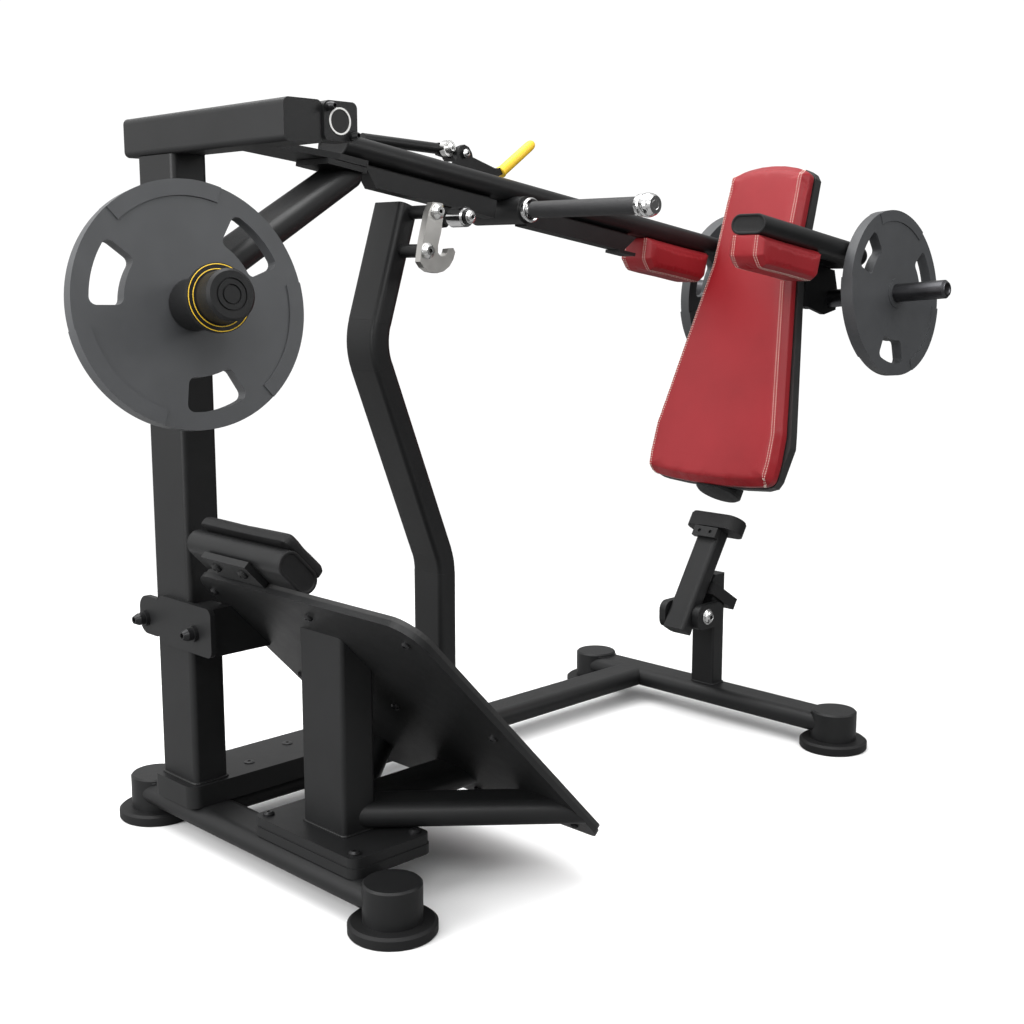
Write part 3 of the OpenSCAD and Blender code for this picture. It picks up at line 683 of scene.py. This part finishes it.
# two plain painted rings on the counterweight's locking collar
for k, r in enumerate((50.0, 58.5)):
    turned(f"collar_line_{k}", spot(COLLAR, 0, 0, 104.9),
           COLLAR.to_3x3() @ Vector((0, 0, 1)),
           [(r - 0.8, 0), (r - 0.8, 0.5), (r + 0.8, 0.5), (r + 0.8, 0)],
           "yellow_grip", "arm", sides=96)


# ---- weld beads -----------------------------------------------------------
def weld(name, corners, body, r=3.4, pitch=7.0, closed=True, around=8):
    """A rippled bead of weld along a path of machine points."""
    path = [at(*c) for c in corners]
    if closed:
        path.append(path[0])
    line = densify(path, pitch * MM / 4)
    last = len(line) - 1
    points, faces = [], []
    for k, p in enumerate(line):
        ahead = (line[min(k + 1, last)] - line[max(k - 1, 0)]).normalized()
        side = ahead.cross(Vector((0, 0, 1)))
        if side.length <= 0.2:
            side = ahead.cross(Vector((1, 0, 0)))
        side.normalize()
        up = side.cross(ahead)
        swell = r * (0.82 + 0.18 * abs(math.sin(math.pi * k / 4)))
        for c in range(around):
            t = 2 * math.pi * c / around
            points.append(p + (side * math.cos(t) + up * math.sin(t)) * swell * MM)
    for k in range(last):
        for c in range(around):
            i, j = around * k + c, around * k + (c + 1) % around
            faces.append((i, j, j + around, i + around))
    keep(name, mesh_of(name, points, faces), "powder_coat", body)


def box_loop(cx, cy, z, w, d, ease=10):
    """A rectangle with eased corners, at one height."""
    out = []
    for sx, sy, first in ((1, 1, 0), (-1, 1, 90), (-1, -1, 180), (1, -1, 270)):
        for k in range(4):
            a = math.radians(first + 30 * k)
            out.append((cx + sx * (w / 2 - ease) + ease * math.cos(a),
                        cy + sy * (d / 2 - ease) + ease * math.sin(a), z))
    return out


weld("weld_upright", box_loop(0, 251.25, 139, 83, 134.5, 12), "frame", 4.0)
weld("weld_column", box_loop(58, -183, 131, 81, 135, 9), "frame", 3.6)
weld("weld_curved_post", box_loop(647, 187.5, 151, 55, 106, 14), "frame", 3.4)
weld("weld_stop_post", box_loop(1496, 0, 91, 53, 75, 8), "frame", 3.2)
CAN_R, CAN_Y = 57.6, 414.5                      # the foot cans at the crossbars' ends
for k, x in enumerate((0, 1493)):
    for word, side in (("near", -1), ("far", 1)):
        arc = [(x + CAN_R * math.sin(a), side * (CAN_Y - CAN_R * math.cos(a)), 90.4)
               for a in (math.radians(5.2 * j) for j in range(-8, 9))]
        weld(f"weld_can_{k}_{word}", arc, "frame", 2.6, closed=False)


# ---- floor and light ------------------------------------------------------
def add_floor():
    """A pale floor that fades out into the white room well away from the machine, and gives
    back less light to the machine than it shows."""
    mesh = bpy.data.meshes.new("floor")
    build = bmesh.new()
    bmesh.ops.create_grid(build, x_segments=1, y_segments=1, size=12.0)
    build.to_mesh(mesh)
    build.free()
    floor = bpy.data.objects.new("floor", mesh)
    bpy.context.scene.collection.objects.link(floor)
    n = Nodes("pale_floor")
    n.link(n.ramp(n.noise(0.4), [(0.3, (0.90, 0.90, 0.90)), (0.7, (0.91, 0.91, 0.91))]),
           n.shader.inputs["Base Color"])
    n.set(roughness=0.9, spec=0.1)
    dim = n.add("ShaderNodeBsdfDiffuse")
    dim.inputs["Color"].default_value = (0.30, 0.30, 0.30, 1.0)
    seen = n.add("ShaderNodeMixShader")
    n.link(n.add("ShaderNodeLightPath").outputs["Is Camera Ray"], seen.inputs["Fac"])
    n.link(dim.outputs["BSDF"], seen.inputs[1])
    n.link(n.shader.outputs["BSDF"], seen.inputs[2])
    reach = n.add("ShaderNodeVectorMath", operation="LENGTH")
    n.link(n.coord, reach.inputs[0])
    fade = n.add("ShaderNodeMapRange", interpolation_type="SMOOTHSTEP")
    fade.inputs["From Min"].default_value, fade.inputs["From Max"].default_value = 1.5, 3.2
    n.link(reach.outputs["Value"], fade.inputs["Value"])
    clear = n.add("ShaderNodeBsdfTransparent")
    mix = n.add("ShaderNodeMixShader")
    n.link(fade.outputs["Result"], mix.inputs["Fac"])
    n.link(seen.outputs["Shader"], mix.inputs[1])
    n.link(clear.outputs["BSDF"], mix.inputs[2])
    n.link(mix.outputs["Shader"], n.tree.nodes["Material Output"].inputs["Surface"])
    mesh.materials.append(n.mat)


def add_area(name, place, target, size, power):
    """A rectangular soft light at a place in metres, turned to a target."""
    data = bpy.data.lights.new(name, "AREA")
    data.shape = "RECTANGLE"
    data.size, data.size_y = size
    data.energy = power
    obj = bpy.data.objects.new(name, data)
    bpy.context.scene.collection.objects.link(obj)
    place, target = Vector(place), Vector(target)
    turn = (target - place).to_track_quat("-Z", "Y").to_matrix().to_4x4()
    obj.matrix_world = Matrix.Translation(place) @ turn


def add_light():
    """A white room, seen as plain white, that is brighter above and before the machine, with
    four soft lights."""
    world = bpy.data.worlds.new("studio")
    bpy.context.scene.world = world
    world.use_nodes = True
    tree = world.node_tree
    lit = tree.nodes["Background"]
    coord = tree.nodes.new("ShaderNodeTexCoord")
    dot = tree.nodes.new("ShaderNodeVectorMath")
    dot.operation = "DOT_PRODUCT"
    dot.inputs[1].default_value = Vector((-0.45, 0.10, 0.80)).normalized()
    tree.links.new(coord.outputs["Generated"], dot.inputs[0])
    ramp = tree.nodes.new("ShaderNodeMapRange")
    for socket, value in (("From Min", -0.45), ("From Max", 0.75), ("To Min", 0.05),
                          ("To Max", 1.15)):
        ramp.inputs[socket].default_value = value
    tree.links.new(dot.outputs["Value"], ramp.inputs["Value"])
    tree.links.new(ramp.outputs["Result"], lit.inputs["Strength"])
    seen = tree.nodes.new("ShaderNodeBackground")
    seen.inputs["Strength"].default_value = 1.05
    for node in (lit, seen):
        node.inputs["Color"].default_value = (1.0, 1.0, 1.0, 1.0)
    path = tree.nodes.new("ShaderNodeLightPath")
    mix = tree.nodes.new("ShaderNodeMixShader")
    tree.links.new(path.outputs["Is Camera Ray"], mix.inputs["Fac"])
    tree.links.new(lit.outputs["Background"], mix.inputs[1])
    tree.links.new(seen.outputs["Background"], mix.inputs[2])
    tree.links.new(mix.outputs["Shader"], tree.nodes["World Output"].inputs["Surface"])
    add_area("top_light", (-0.6, 0.6, 4.4), (0.1, 0.0, 0.2), (4.6, 4.0), 185)
    add_area("left_light", (-4.2, 0.6, 2.0), (0.0, 0.0, 0.8), (2.4, 2.6), 130)
    add_area("right_light", (1.7, -3.0, 2.5), (0.6, 0.0, 1.35), (1.8, 1.4), 32)
    add_area("near_light", (-1.9, -2.0, 2.5), (-0.5, 0.2, 1.45), (1.6, 1.2), 22)
    bpy.context.scene.view_settings.view_transform = "Standard"


add_floor()
add_light()
